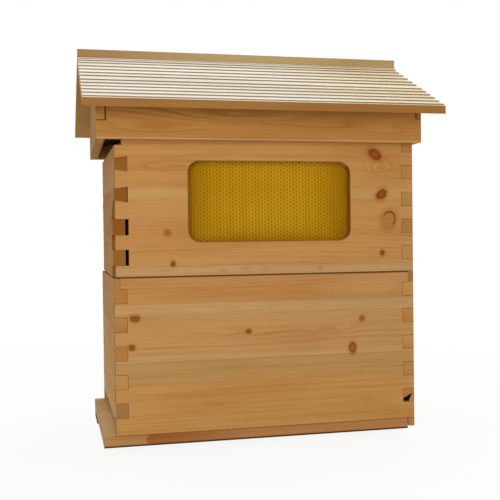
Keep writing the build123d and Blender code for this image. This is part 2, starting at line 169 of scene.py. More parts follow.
class Shading(Nodes):
    """One material and its surface."""

    def __init__(self, name):
        self.material = bpy.data.materials.new(name)
        self.material.use_nodes = True
        super().__init__(self.material.node_tree)
        self.surface = self.nodes["Principled BSDF"]

    def give(self, name, value):
        """Feeds one of the surface's own sockets."""
        self.feed(self.surface.inputs[name], value)

    def share_with(self, other, share):
        """Lets another shader take a share of the surface."""
        choice = self.nodes.new("ShaderNodeMixShader")
        self.links.new(share, choice.inputs[0])
        self.links.new(self.surface.outputs[0], choice.inputs[1])
        self.links.new(other.outputs[0], choice.inputs[2])
        self.links.new(choice.outputs[0], self.nodes["Material Output"].inputs["Surface"])

    def coordinates(self, kind):
        """The x, y and z of the surface in the row frame, or of the way that it faces."""
        place = self.nodes.new("ShaderNodeTexCoord")
        parts = self.nodes.new("ShaderNodeSeparateXYZ")
        self.links.new(place.outputs[kind], parts.inputs[0])
        return dict(zip("XYZ", parts.outputs))

    def faces_against(self, way):
        """1 where the surface faces against an axis, 0 elsewhere."""
        low, high = facing_span
        return self.step(way, -high, -low, 1.0, 0.0)

    def eased_edge(self):
        """1 on the eased edges of a board, 0 elsewhere."""
        node = self.nodes.new("ShaderNodeAttribute")
        node.attribute_name = "eased"
        return node.outputs["Fac"]

    def bump(self, height, strength, distance):
        """Fine relief."""
        node = self.nodes.new("ShaderNodeBump")
        node.inputs["Strength"].default_value = strength
        node.inputs["Distance"].default_value = distance
        self.feed(node.inputs["Height"], height)
        self.give("Normal", node.outputs[0])


# Marks of pine boards


class Knot:
    """A mark on a board: millimetres along the grain and across it.

    A knot is dark, soft, brown inside a dark ring, or only an arc. A stain tints the wood, and an eye
    only bends its rings. A knot can end at the upper glue line of its plank.
    """

    def __init__(self, along, across, half_along, half_across, tilt=0.0, depth=1.0, kind="dark", tint=None,
                 plank_end=None):
        self.along = along * millimetre
        self.across = across * millimetre
        self.half_along = half_along * millimetre
        self.half_across = half_across * millimetre
        self.tilt = math.radians(tilt)
        self.depth = depth
        self.kind = kind
        self.tint = tint
        self.plank_end = plank_end


def stain(along, across, half_along, half_across, tint, depth):
    """A tinted patch."""
    return Knot(along, across, half_along, half_across, depth=depth, kind="stain", tint=tone(*tint))


def eye(along, across, half_along, half_across, depth=1.0):
    """Rings that close up into an eye, as they do over a hidden branch."""
    return Knot(along, across, half_along, half_across, depth=depth, kind="eye")


# Tones that all pine boards share
late_wood = tone(196, 158, 112)
streak_wood = tone(226, 202, 170)
knot_stain = tone(214, 156, 100)
soft_knot = tone(146, 92, 44)
handled = tone(170, 130, 88)

# A knot's tones from its heart outwards, and the half width that small knots stay under
knot_rim = tone(116, 58, 14)
ring_heart = tone(152, 98, 46)
dark_stops = [(0.0, tone(148, 82, 40)), (0.35, tone(138, 72, 26)), (0.75, knot_rim)]
small_stops = [(0.0, tone(98, 54, 18)), (0.3, tone(142, 86, 36)), (0.75, tone(122, 68, 22))]
ring_stops = [(0.0, ring_heart), (0.3, ring_heart), (0.7, knot_rim)]
small_knot = 7.0 * millimetre

# How tight the marks lie: along the grain, across it and into the board
waver_scale = (7.0, 9.0, 2.0)
sweep_scale = (1.6, 11.0, 11.0)
wobble_scale = (11.0, 70.0, 70.0)
contrast_scale = (2.4, 24.0, 24.0)
fibre_scale = (26.0, 900.0, 900.0)
streak_scale = (4.0, 140.0, 140.0)
blotch_scale = (3.2, 18.0, 18.0)
rim_scale = (180.0, 180.0, 180.0)
pore_scale = (500.0, 700.0, 700.0)
pin_scale = (3.0, 24.0, 3.0)

# Planks in millimetres, and how the grain of planks and boards differs
last_plank_width = 100.0
glue_line_waver = 3.2
glue_line_edge = (0.2, 1.2)
glue_line_depth = 0.22
handling_depth = 0.7
plank_turn = 0.37
board_turn = 0.61
grain_shift = 7.0

# Growth rings: their wobble in millimetres, their slant, bends and contrast
ring_wobble = 1.6
ring_slant_across = 0.8
ring_slant_deep = 0.6
ring_shift = 0.031
knot_bend = 0.8
eye_bend = 2.0
eye_contrast = 0.4
bend_fall = -0.6
contrast_span = (0.42, 0.75)
ring_rise = (0.2, 0.9)
ring_drop = (0.9, 1.0)
faint_rings = 0.2
strong_rings = 1.7

# Soft marks: the span of noise that they take, and their depth at its start and end
blotch_mark = (0.42, 0.75, 0.0, 0.35)
streak_mark = (0.45, 0.75, 0.0, 0.3)
fibre_mark = (0.45, 0.8, 0.0, 0.25)
pin_mark = (0.35, 0.65, 0.0, 0.6)
pore_mark = (0.5, 0.75, 0.0, 0.3)
end_ring_depth = 0.08

# What fibres do to the relief and the roughness
fibre_relief = 0.7
fibre_sheen = (0.3, 0.75)
smoother = 0.06
rougher = 0.12

# Parts of a knot: where they begin and end, if 0 is its middle and 1 its rim.
# A cut knot fades over so many millimetres at its glue line.
stain_edge = (0.1, 1.2)
stain_streaks = (0.3, 0.62)
least_stain = 0.35
halo_edge = (0.8, 2.0)
halo_depth = 0.5
heart_edge = (0.79, 1.16)
heart_spread = 0.8
soft_edge = (0.5, 1.45)
arc_inner_edge = (0.72, 0.92)
arc_outer_edge = (0.96, 1.12)
arc_opening = (-0.5, 0.3)
cut_below = 0.4
cut_above = 0.2

# How uneven the rims of knots are, and the share of it that arcs and eyes have
rim_ripple = 0.45
calm_share = 0.4


def plank_bands(s, lined, planks, seed):
    """The planks' colours, and a number that shifts the grain from plank to plank."""
    low = planks[0][0] * millimetre
    high = (planks[-1][0] + last_plank_width) * millimetre
    share = s.math("DIVIDE", s.math("SUBTRACT", lined, low), high - low)
    colours = []
    shifts = []
    for i, (start, colour) in enumerate(planks):
        position = (start * millimetre - low) / (high - low)
        turn = (plank_turn * i + board_turn * seed) % 1.0
        colours.append((position, tone(*colour)))
        shifts.append((position, (turn, turn, turn, 1.0)))
    shift = s.times(s.ramp(share, shifts, "CONSTANT"), grain_shift)
    return s.ramp(share, colours, "CONSTANT"), shift


def knot_distance(s, axes, knot, ripple):
    """How far a place is from a knot's middle, where 1 is its rim."""
    ahead = s.math("SUBTRACT", axes[0], knot.along)
    aside = s.math("SUBTRACT", axes[1], knot.across)
    length = s.times(aside, math.sin(knot.tilt))
    length = s.math("MULTIPLY_ADD", ahead, math.cos(knot.tilt), length)
    width = s.times(ahead, -math.sin(knot.tilt))
    width = s.math("MULTIPLY_ADD", aside, math.cos(knot.tilt), width)
    length = s.math("DIVIDE", length, knot.half_along)
    width = s.math("DIVIDE", width, knot.half_across)
    square = s.times(length, length)
    square = s.math("MULTIPLY_ADD", width, width, square)
    return s.math("ADD", s.math("SQRT", square), ripple)


def knot_distances(s, axes, knots):
    """The distances from all knots, whose rims are a little uneven."""
    ripple = s.drawn_noise(axes, rim_scale)
    ripple = s.times(s.math("SUBTRACT", ripple, 0.5), rim_ripple)
    calm = s.times(ripple, calm_share)
    return [knot_distance(s, axes, knot, calm if knot.kind in ("arc", "eye") else ripple) for knot in knots]


def growth_rings(s, axes, shift, knots, reaches, rings, figure, contrast):
    """Late wood in rings that bend round the knots and eyes, and how strongly it shows.

    The rings are drawn out along the grain. They stand out in some places and fade in others.
    """
    sweep = s.drawn_noise(axes, sweep_scale, shift, detail=1.5)
    growth = s.times(s.math("SUBTRACT", sweep, 0.5), 2 * figure * millimetre)
    wobble = s.drawn_noise(axes, wobble_scale, shift)
    growth = s.math("MULTIPLY_ADD", wobble, ring_wobble * millimetre, growth)
    growth = s.math("MULTIPLY_ADD", axes[1], ring_slant_across, growth)
    growth = s.math("MULTIPLY_ADD", axes[2], ring_slant_deep, growth)
    growth = s.math("MULTIPLY_ADD", shift, ring_shift, growth)
    patches = s.drawn_noise(axes, contrast_scale, shift)
    strength = s.step(patches, *contrast_span, faint_rings * contrast, strong_rings * contrast)
    for knot, reach in zip(knots, reaches):
        if knot.kind == "stain":
            continue
        fall = s.math("EXPONENT", s.times(s.times(reach, reach), bend_fall))
        bend = eye_bend if knot.kind == "eye" else knot_bend
        growth = s.math("MULTIPLY_ADD", fall, bend * knot.half_across, growth)
        if knot.kind == "eye":
            strength = s.math("MULTIPLY_ADD", fall, eye_contrast * knot.depth, strength)
    phase = s.math("FRACT", s.math("DIVIDE", growth, rings * millimetre))
    late = s.times(s.step(phase, *ring_rise), s.step(phase, *ring_drop, 1.0, 0.0))
    return late, strength


def end_grain_colour(s, axes, late, colour, seed):
    """End grain, which differs from pin to pin."""
    pores = s.drawn_noise(axes, pore_scale)
    pins = s.drawn_noise(axes, pin_scale, seed, detail=0.0)
    end = s.mix(s.times(late, end_ring_depth), tone(*colour), late_wood, "MULTIPLY")
    end = s.mix(s.step(pins, *pin_mark), end, streak_wood, "MULTIPLY")
    return s.mix(s.step(pores, *pore_mark), end, late_wood, "MULTIPLY")


def draw_stain(s, base, knot, reach, streaks):
    """A tinted patch that follows the streaks."""
    patch = s.step(reach, *stain_edge, knot.depth, 0.0)
    patch = s.times(patch, s.step(streaks, *stain_streaks, least_stain, 1.0))
    return s.mix(patch, base, knot.tint)


def draw_arc(s, base, knot, reach, axes):
    """A dark rim on one side of a knot."""
    open_side = s.math("SUBTRACT", s.math("ADD", axes[0], axes[1]), knot.along + knot.across)
    shown = s.step(open_side, *(share * knot.half_across for share in arc_opening))
    outer = s.step(reach, *arc_outer_edge, knot.depth, 0.0)
    rim = s.times(s.step(reach, *arc_inner_edge), outer)
    return s.mix(s.times(rim, shown), base, knot_rim)


def draw_heart(s, base, knot, reach, lined):
    """A knot's heart, which ends at the upper glue line where the knot says so."""
    stops = dark_stops
    if knot.kind == "ring":
        stops = ring_stops
    elif knot.half_across < small_knot:
        stops = small_stops
    heart = s.ramp(s.times(reach, heart_spread), stops)
    share = s.step(reach, *heart_edge, knot.depth, 0.0)
    if knot.plank_end is not None:
        below = s.border(lined, knot.plank_end - cut_below, knot.plank_end + cut_above, 1.0, 0.0)
        share = s.times(share, below)
    return s.mix(share, base, heart)


def draw_knot(s, base, knot, reach, axes, lined):
    """A knot of any kind, with tinted wood round it."""
    halo = s.step(reach, *halo_edge, halo_depth * knot.depth, 0.0)
    base = s.mix(halo, base, knot_stain, "MULTIPLY")
    if knot.kind == "arc":
        return draw_arc(s, base, knot, reach, axes)
    if knot.kind == "soft":
        return s.mix(s.step(reach, *soft_edge, knot.depth, 0.0), base, soft_knot)
    return draw_heart(s, base, knot, reach, lined)


# Pine


def pine(name, grain, across, deep, planks, knots=(), rings=6.0, figure=16.0, contrast=0.16,
         end_grain=(176, 124, 68), roughness=0.66, gloss=0.03, seed=0.0, faces=None, marks=None):
    """Oiled pine. The planks are (start in millimetres, colour) along the across axis, lowest first.

    The faces tint the bare wood of single sides, and the marks lie on top of everything else.
    """
    s = Shading(name)
    place = s.coordinates("Object")
    normal = s.coordinates("Normal")
    axes = (place[grain], place[across], place[deep])

    # Planks, whose glue lines waver a little
    waver = s.math("SUBTRACT", s.drawn_noise(axes, waver_scale, seed), 0.5)
    lined = s.math("MULTIPLY_ADD", waver, glue_line_waver * millimetre, place[across])
    base, shift = plank_bands(s, lined, planks, seed)
    if faces is not None:
        base = faces(s, base, place, normal)

    # Growth rings, then blotches, streaks and fibres
    reaches = knot_distances(s, axes, knots)
    late, strength = growth_rings(s, axes, shift, knots, reaches, rings, figure, contrast)
    base = s.mix(s.times(late, strength), base, late_wood, "MULTIPLY")
    fibres = s.drawn_noise(axes, fibre_scale)
    streaks = s.drawn_noise(axes, streak_scale, shift)
    blotches = s.drawn_noise(axes, blotch_scale, shift)
    for noise, mark in ((blotches, blotch_mark), (streaks, streak_mark), (fibres, fibre_mark)):
        base = s.mix(s.step(noise, *mark), base, streak_wood, "MULTIPLY")

    # End grain
    facing = s.math("ABSOLUTE", normal[grain])
    end = end_grain_colour(s, axes, late, end_grain, seed)
    base = s.mix(s.step(facing, *facing_span), base, end)

    # Stains and knots, in the order of their list
    for knot, reach in zip(knots, reaches):
        if knot.kind == "stain":
            base = draw_stain(s, base, knot, reach, streaks)
        elif knot.kind != "eye":
            base = draw_knot(s, base, knot, reach, axes, lined)

    # Glue lines between the planks, and edges darkened by handling
    for start, colour in planks[1:]:
        gap = s.math("ABSOLUTE", s.math("SUBTRACT", lined, start * millimetre))
        base = s.mix(s.border(gap, *glue_line_edge, glue_line_depth, 0.0), base, late_wood, "MULTIPLY")
    base = s.mix(s.times(s.eased_edge(), handling_depth), base, handled, "MULTIPLY")
    if marks is not None:
        base = marks(s, base, place)

    s.give("Base Color", base)
    s.give("Roughness", s.step(fibres, *fibre_sheen, roughness - smoother, roughness + rougher))
    s.give("Specular IOR Level", gloss)
    s.bump(s.math("MULTIPLY_ADD", fibres, fibre_relief, late), strength=0.2, distance=0.0003)
    return s.material


# Boards, with eased edges in millimetres

board_ease = 0.3
panel_ease = 0.6
batten_ease = 1.0
same_place = 1e-6
flat_angle = math.radians(0.5)
sharp_angle = math.radians(20)

# How close to a line a corner has to be to lie on it, in millimetres
near = 1.0


def body_of(node):
    """The body that a CAD node rides on."""
    return cad[node]["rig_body"]


def link(mesh_object):
    """Puts a new object into the scene."""
    bpy.context.scene.collection.objects.link(mesh_object)
    return mesh_object


def finish_piece(piece, node, material):
    """Gives a piece its material and its place in the frame."""
    piece.data.materials.clear()
    piece.data.materials.append(material)
    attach(piece, body_of(node))
    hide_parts(node)
    return piece


def eased_board(node, material, ease=board_ease):
    """A copy of a CAD board with its outer edges eased."""
    shape = bmesh.new()
    shape.from_mesh(cad[node].data)
    bmesh.ops.remove_doubles(shape, verts=shape.verts, dist=same_place)
    bmesh.ops.dissolve_limit(shape, angle_limit=flat_angle, verts=shape.verts, edges=shape.edges)
    mark = shape.faces.layers.float.new("eased")
    corners = [e for e in shape.edges if e.is_manifold and e.is_convex and e.calc_face_angle() > sharp_angle]
    made = bmesh.ops.bevel(shape, geom=corners, offset=ease * millimetre, segments=2, profile=0.5,
                           affect="EDGES", clamp_overlap=True)
    for face in made["faces"]:
        face[mark] = 1.0
    mesh = bpy.data.meshes.new(node + "_eased")
    shape.to_mesh(mesh)
    shape.free()
    mesh.shade_smooth()
    mesh.set_sharp_from_angle(angle=sharp_angle)
    piece = link(bpy.data.objects.new(node + "_eased", mesh))
    return finish_piece(piece, node, material)


# Shapes of the box walls, in millimetres

window_x = 11.2
window_z = 407.7
window_half_width = 139.0
window_half_height = 66.5
window_seat = -147.5
cad_corner = 15.0
seen_corner = 19.5
corner_slack = 0.01
brood_top = 284.8
seam_lip = 2.3
pin_gap = 0.2
level_face = 0.9
low_end_middle = -236.0
warp_head = 432.2
warp_foot = 379.2
foot_draw_in = 3.0


def round_window(board):
    """Rounds the window's front corners more than the CAD board has them."""
    for vertex in board.data.vertices:
        x, y, z = (value / millimetre for value in vertex.co)
        if y > window_seat:
            continue
        corner_x = math.copysign(window_half_width - cad_corner, x - window_x)
        corner_z = math.copysign(window_half_height - cad_corner, z - window_z)
        aside = x - window_x - corner_x
        above = z - window_z - corner_z
        reach = math.hypot(aside, above)
        outside = aside * corner_x >= -corner_slack and above * corner_z >= -corner_slack
        if outside and abs(reach - cad_corner) < near:
            more = seen_corner - cad_corner
            share = (reach + more) / reach
            vertex.co.x += (aside * (share - 1) - math.copysign(more, corner_x)) * millimetre
            vertex.co.z += (above * (share - 1) - math.copysign(more, corner_z)) * millimetre


def raise_lip(board):
    """The rear wall's lip closes the seam at its end of the box."""
    for vertex in board.data.vertices:
        if vertex.co.z > (brood_top - near) * millimetre:
            vertex.co.z += seam_lip * millimetre


def fill_back_foot(node, board):
    """Brings the warped end wall's outer face out at its back foot, flush with the back wall."""
    low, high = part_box(node)
    for vertex in board.data.vertices:
        if vertex.co.x < low_end_middle * millimetre:
            share = (warp_head - vertex.co.z / millimetre) / (warp_head - warp_foot)
            back = (vertex.co.y - low[1]) / (high[1] - low[1])
            vertex.co.x -= foot_draw_in * min(1.0, max(0.0, share)) * back * millimetre


def close_pins(board):
    """Lets the front pins touch their sockets along the outer side, so that no light shows through."""
    points = board.data.vertices
    outer_side = max(point.co.x for point in points) - near * millimetre
    top = max(point.co.z for point in points) - near * millimetre
    closing = {}
    for face in board.data.polygons:
        if abs(face.normal.z) > level_face and face.center.y < window_seat * millimetre:
            for index in face.vertices:
                closing[index] = math.copysign(pin_gap * millimetre, face.normal.z)
    for index, move in closing.items():
        if points[index].co.x > outer_side and points[index].co.z < top:
            points[index].co.z += move


# Marks on the box walls: corners of boxes round them, and the borders of a line

window_right_side = ((146.0, -164.4, 341.0), (153.0, -144.0, 474.0))
entrance_low_pin = ((-260.0, -170.0, 60.0), (-220.0, -164.0, 85.0))
rear_lip_end = ((253.0, -170.0, 268.0), (268.0, -163.5, 290.0))
rear_chip = ((244.0, -164.6, 60.0), (263.2, -140.0, 77.0))
brood_foot_line = (32.4, 33.8)
# Painted shade of the window's right side, and the painted shadow line along the brood box's foot
painted_window_shade = tone(128, 82, 22)
painted_foot_shadow = tone(118, 72, 28)
grey_pin = tone(146, 112, 68)
brown_lip = tone(147, 108, 56)
# Painted shade inside the chip
painted_chip_shade = tone(60, 30, 10)


def inside(s, place, box, soft=0.5):
    """1 inside a box, 0 outside, with borders soft for so many millimetres."""
    share = 1.0
    for axis, start, end in zip("XYZ", *box):
        share = s.times(share, s.border(place[axis], start - soft, start + soft))
        share = s.times(share, s.border(place[axis], end - soft, end + soft, 1.0, 0.0))
    return share


def tinted(s, base, share, colour, depth):
    """The base with a colour over a share of it."""
    return s.mix(s.times(share, depth), base, colour)


def wall_marks(s, base, place):
    """The window's right side is painted dark as the shade of the window's recess, and a dark line of painted
    shadow runs along the brood box's foot, where it stands on the floor.
    """
    base = tinted(s, base, inside(s, place, window_right_side), painted_window_shade, depth=0.8)
    return s.mix(s.border(place["Z"], *brood_foot_line, start=0.6, end=0.0), base, painted_foot_shadow)


def entrance_marks(s, base, place):
    """The entrance wall's lowest front pin is greyer than the rest."""
    return tinted(s, base, inside(s, place, entrance_low_pin), grey_pin, depth=0.55)


def rear_marks(s, base, place):
    """The inside of the chip in the rear wall's pin is painted dark as its shade, and the end of its top lip
    is browner.
    """
    base = tinted(s, base, inside(s, place, rear_lip_end), brown_lip, depth=0.9)
    return s.mix(inside(s, place, rear_chip, soft=0.2), base, painted_chip_shade)


# Front and back walls of the boxes: planks from the bottom up, then the knots

super_foot = 287.2
brood_foot = 32.0
super_planks = [
    (super_foot, (186, 146, 96)),
    (302.0, (188, 138, 80)),
    (410.0, (190, 148, 90)),
    (429.5, (186, 136, 76)),
]
super_knots = [
    Knot(195.2, 487.0, 13.2, 8.4, tilt=-32),
    Knot(206.5, 419.1, 10.8, 7.8, tilt=40),
    Knot(219.2, 375.4, 12.0, 15.0, tilt=-20, depth=0.85, kind="arc"),
    Knot(207.3, 318.6, 4.3, 5.0),
    Knot(-162.1, 356.8, 5.0, 4.6, depth=0.85, kind="soft"),
    Knot(-153.6, 306.9, 4.2, 4.6),
    eye(206.5, 460.0, 26.0, 11.0),
    eye(-150.0, 462.0, 60.0, 8.0, depth=0.5),
    stain(200.0, 386.0, 9.0, 14.0, (190, 126, 66), depth=0.45),
    stain(-72.0, 295.0, 12.0, 4.0, (150, 124, 86), depth=0.8),
    stain(-34.0, 296.5, 14.0, 4.5, (154, 126, 88), depth=0.8),
    stain(1.0, 296.0, 16.0, 4.5, (156, 128, 88), depth=0.75),
    stain(96.0, 296.0, 7.0, 4.5, (150, 120, 80), depth=0.8),
    stain(-165.0, 296.0, 16.0, 4.0, (164, 132, 92), depth=0.6),
]
brood_planks = [
    (brood_foot, (189, 141, 80)),
    (112.0, (180, 138, 84)),
    (148.0, (190, 148, 96)),
    (160.0, (186, 141, 86)),
    (222.5, (188, 148, 96)),
    (242.0, (184, 134, 78)),
]
brood_knots = [
    Knot(-216.2, 220.4, 7.5, 5.9, plank_end=224.2),
    Knot(-221.8, 173.9, 5.0, 5.2),
    Knot(-29.5, 192.6, 4.6, 3.7),
    Knot(169.1, 207.7, 5.4, 4.4, tilt=45, kind="soft"),
    Knot(151.8, 158.3, 6.4, 9.0, kind="ring"),
    eye(-124.0, 69.0, 22.0, 6.0, depth=0.8),
    eye(-62.0, 71.5, 16.0, 5.0, depth=0.6),
    eye(110.0, 191.0, 26.0, 4.5, depth=0.3),
    eye(-100.0, 190.0, 60.0, 5.0, depth=0.6),
    eye(176.0, 66.0, 24.0, 6.0, depth=0.6),
    stain(22.0, 262.0, 38.0, 14.0, (190, 122, 60), depth=0.6),
    stain(-130.0, 258.0, 90.0, 14.0, (180, 122, 62), depth=0.5),
    stain(180.0, 262.0, 110.0, 17.0, (192, 144, 90), depth=0.8),
    stain(165.0, 239.0, 125.0, 8.5, (174, 146, 98), depth=0.8),
    stain(-60.0, 230.0, 30.0, 7.0, (172, 136, 88), depth=0.6),
    stain(-224.0, 182.0, 24.0, 6.0, (196, 136, 72), depth=0.5),
]
super_back_knots = [
    Knot(-90.0, 452.0, 8.0, 7.0),
    Knot(120.0, 345.0, 5.0, 5.0),
    Knot(205.0, 472.0, 6.0, 8.0, kind="soft"),
]
brood_back_knots = [
    Knot(-150.0, 196.0, 7.0, 6.0),
    Knot(40.0, 88.0, 5.0, 4.5),
    Knot(190.0, 138.0, 6.5, 8.0),
]
for node, planks, knots, seed in (
        ("super_front_wall", super_planks, super_knots, 1.0),
        ("super_back_wall", super_planks, super_back_knots, 2.0),
        ("brood_front_wall", brood_planks, brood_knots, 3.0),
        ("brood_back_wall", brood_planks, brood_back_knots, 4.0)):
    board = eased_board(node, pine(node + "_pine", "X", "Z", "Y", planks, knots, seed=seed, marks=wall_marks))
    if node == "super_front_wall":
        round_window(board)

# End walls of the boxes, and the harvest panel

super_end_planks = [(super_foot, (181, 135, 82)), (352.0, (176, 129, 76)), (430.0, (185, 141, 86))]
brood_end_planks = [(brood_foot, (208, 164, 110)), (73.0, (198, 152, 98)), (205.0, (188, 142, 90))]
entrance_pine = pine("entrance_pine", "Y", "Z", "X", brood_end_planks, seed=5.0, end_grain=(186, 136, 76),
                     marks=entrance_marks)
rear_pine = pine("rear_pine", "Y", "Z", "X", brood_end_planks, [Knot(60.0, 165.0, 7.0, 6.0)], seed=6.0,
                 end_grain=(188, 140, 82), marks=rear_marks)
low_end_pine = pine("low_end_pine", "Y", "Z", "X", super_end_planks, seed=7.0, end_grain=(147, 96, 41))
harvest_pine = pine("harvest_pine", "Y", "Z", "X", super_end_planks, seed=8.0, end_grain=(178, 135, 76))
panel_pine = pine("panel_pine", "Y", "Z", "X", super_end_planks, [Knot(-70.0, 372.0, 6.0, 6.0)], seed=9.0)
eased_board("brood_entrance_wall", entrance_pine)
raise_lip(eased_board("brood_rear_wall", rear_pine))
fill_back_foot("super_low_end_wall", eased_board("super_low_end_wall", low_end_pine))
close_pins(eased_board("super_harvest_wall", harvest_pine))
eased_board("harvest_panel", panel_pine, ease=batten_ease)

# Floor, in millimetres

floor_left = -270.0
floor_run = 540.0
floor_middle = 22.5
sapwood_slant = -0.6
# A dark line painted along the bottom of the floor's front edge as its shadow
painted_shadow_line = (15.0, 16.8)
painted_floor_shadow = tone(78, 46, 18)
batten_lead = 2.3
batten_end_reach = 2.0
floor_edge_tones = [
    (0.0, tone(182, 134, 84)),
    (0.125, tone(180, 132, 82)),
    (0.13, tone(158, 98, 50)),
    (0.3, tone(168, 110, 60)),
    (0.42, tone(180, 126, 78)),
    (0.6, tone(184, 132, 82)),
    (1.0, tone(187, 136, 86)),
]


def floor_faces(s, base, place, normal):
    """The floor's front edge: pale sapwood near the landing, then red heartwood, with a dark line painted
    along its foot as the shadow beneath it.
    """
    point = s.math("ABSOLUTE", s.math("SUBTRACT", place["Z"], floor_middle * millimetre))
    run = s.math("MULTIPLY_ADD", point, sapwood_slant, place["X"])
    run = s.math("DIVIDE", s.math("SUBTRACT", run, floor_left * millimetre), floor_run * millimetre)
    edge = s.ramp(run, floor_edge_tones)
    edge = s.mix(s.border(place["Z"], *painted_shadow_line, start=0.95, end=0.0), edge, painted_floor_shadow)
    return s.mix(s.faces_against(normal["Y"]), base, edge)


def lengthen_batten(board):
    """Brings the back batten's end out to where it shows."""
    batten_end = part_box("floor_batten_back")[0][0]
    for vertex in board.data.vertices:
        if vertex.co.x < batten_end + batten_end_reach * millimetre:
            vertex.co.x -= batten_lead * millimetre


floor_planks = [(-160.0, (228, 191, 140)), (-35.0, (225, 188, 137)), (75.0, (217, 180, 129))]
floor_pine = pine("floor_pine", "X", "Y", "Z", floor_planks, seed=10.0, figure=10.0, faces=floor_faces,
                  end_grain=(204, 176, 138))
# The battens' wood is painted dark as the shade under the floor
painted_shade_batten_pine = pine("painted_shade_batten_pine", "X", "Y", "Z", [(-160.0, (110, 70, 36))], seed=10.5, figure=10.0,
                   end_grain=(92, 56, 26))
eased_board("floor_board", floor_pine, ease=panel_ease)
eased_board("floor_batten_front", painted_shade_batten_pine, ease=batten_ease)
lengthen_batten(eased_board("floor_batten_back", painted_shade_batten_pine, ease=batten_ease))

# Roof boards: borders of their tones, and how far up a face must point to take the pale tone painted as light
# from above

roof_warm_end = (0.0, 240.0)
eave_border = (227.0, 227.6)
ridge_cut_border = (665.5, 666.5)
ridge_cut_fade = (-340.0, 40.0)
painted_light_span = (0.4, 0.6)
roof_warmth = tone(249, 241, 220)
# Painted shade of the risers
painted_riser_shade = tone(152, 137, 113)
eave_brown = tone(156, 108, 52)
ridge_left = tone(160, 124, 80)
ridge_right = tone(180, 155, 108)
underside_brown = tone(166, 124, 66)


def roof_faces(s, base, place, normal):
    """Faces that point up are painted pale as the light from above, and warmer to the right; risers are
    painted greyer as their shade; eaves and undersides are browner.

    The cut along the ridge lies in between and is browner to the left.
    """
    right_end = s.border(place["X"], *roof_warm_end)
    base = s.mix(right_end, base, roof_warmth, "MULTIPLY")
    riser = s.mix(right_end, painted_riser_shade, roof_warmth, "MULTIPLY")
    eave = s.border(s.math("ABSOLUTE", place["Y"]), *eave_border)
    edge = s.mix(eave, riser, eave_brown)
    ridge_cut = s.mix(s.border(place["X"], *ridge_cut_fade), ridge_left, ridge_right)
    edge = s.mix(s.border(place["Z"], *ridge_cut_border), edge, ridge_cut)
    edge = s.mix(s.faces_against(normal["Z"]), edge, underside_brown)
    return s.mix(s.step(normal["Z"], *painted_light_span), edge, base)


# Steps of the front roof boards, in millimetres up the slope from the boards' joint

joint_y = -118.96
joint_z = 614.10
slope_rise = 8.088
slope_run = 17.27
slope = math.atan2(slope_rise, slope_run)
cad_step = 19.07
seen_steps = (6.0, 25.5, 47.5, 69.8, 92.0, 108.5, 114.4)
last_step = len(seen_steps) - 1
half_rise = 1.0
lap_rise = 2.3
lap_pull = 1.9
top_reach = 1.6
joint_reach = 1.5


def move_steps(board, way):
    """Lets the front boards meet in a step like the others, and spreads the upper board's steps wider.

    The upper board's last step is low, and its end reaches up to the lap at the ridge.
    """
    run = math.cos(slope)
    climb = math.sin(slope)
    for vertex in board.data.vertices:
        ahead = vertex.co.y / millimetre - joint_y
        above = vertex.co.z / millimetre - joint_z
        along = ahead * run + above * climb
        height = above * run - ahead * climb
        step = round(along / cad_step)
        on_top = abs(height) < top_reach
        at_joint = step == 0 and abs(along) < joint_reach
        at_step = step > 0 and on_top and abs(along - step * cad_step) < near
        at_end = step == last_step and on_top and not at_step
        if at_joint or at_step or at_end:
            shift = -lap_pull if at_end else seen_steps[step] - step * cad_step
            rise = way * half_rise if at_joint and on_top else 0.0
            if step == last_step:
                rise = lap_rise - half_rise if at_step and height > 0.0 else lap_rise
            vertex.co.y += (shift * run - rise * climb) * millimetre
            vertex.co.z += (shift * climb + rise * run) * millimetre


# The roof's pale tone is painted as the light from above on its steps
painted_light_roof_planks = [(-229.0, (239, 234, 221))]
roof_pine = pine("roof_pine", "X", "Y", "Z", painted_light_roof_planks, seed=11.0, contrast=0.15, rings=9.0,
                 roughness=0.5, gloss=0.1, end_grain=(188, 158, 110), faces=roof_faces)
for side in ("front", "back"):
    for level, way in (("lower", -1), ("upper", 1)):
        board = eased_board(f"roof_{side}_{level}_board", roof_pine)
        if side == "front":
            move_steps(board, way)

# Skirts, gables and cleats of the roof, in millimetres

skirt_foot = 506.0
# A pale line painted along the skirt's lower edge as the light thrown up from the floor
painted_light_line = (507.2, 509.2)
painted_bounce_light = tone(204, 158, 104)
finger_front = -170.5
finger_foot = 546.4
notch_gap = 1.1


def skirt_faces(s, base, place, normal):
    """The skirt's lower edge is painted pale as the light thrown up from the floor."""
    return s.mix(s.border(place["Z"], *painted_light_line, start=0.9, end=0.0), base, painted_bounce_light)


def lower_finger(board):
    """The right gable's finger reaches down to its notch."""
    for vertex in board.data.vertices:
        at_foot = abs(vertex.co.z - finger_foot * millimetre) < near * millimetre
        if at_foot and vertex.co.y < finger_front * millimetre:
            vertex.co.z -= notch_gap * millimetre


skirt_planks = [(skirt_foot, (177, 126, 65))]
skirt_marks = [
    eye(-40.0, 545.0, 90.0, 9.0, depth=0.7),
    eye(110.0, 530.0, 70.0, 8.0, depth=0.7),
    eye(-190.0, 522.0, 60.0, 8.0, depth=0.7),
    eye(215.0, 522.0, 40.0, 7.0, depth=0.7),
    stain(-10.0, 550.0, 120.0, 9.0, (158, 114, 60), depth=0.5),
    stain(60.0, 518.0, 80.0, 6.0, (184, 132, 68), depth=0.4),
]
skirt_pine = pine("skirt_pine", "X", "Z", "Y", skirt_planks, skirt_marks, seed=12.0, contrast=0.26, rings=9.0,
                  figure=26.0, faces=skirt_faces)
for side in ("front", "back"):
    eased_board(f"roof_{side}_skirt", skirt_pine)
gable_planks = [(skirt_foot, (181, 141, 81)), (580.0, (187, 147, 90))]
gable_pine = pine("gable_pine", "Y", "Z", "X", gable_planks, seed=13.0, contrast=0.3,
                  end_grain=(174, 127, 63))
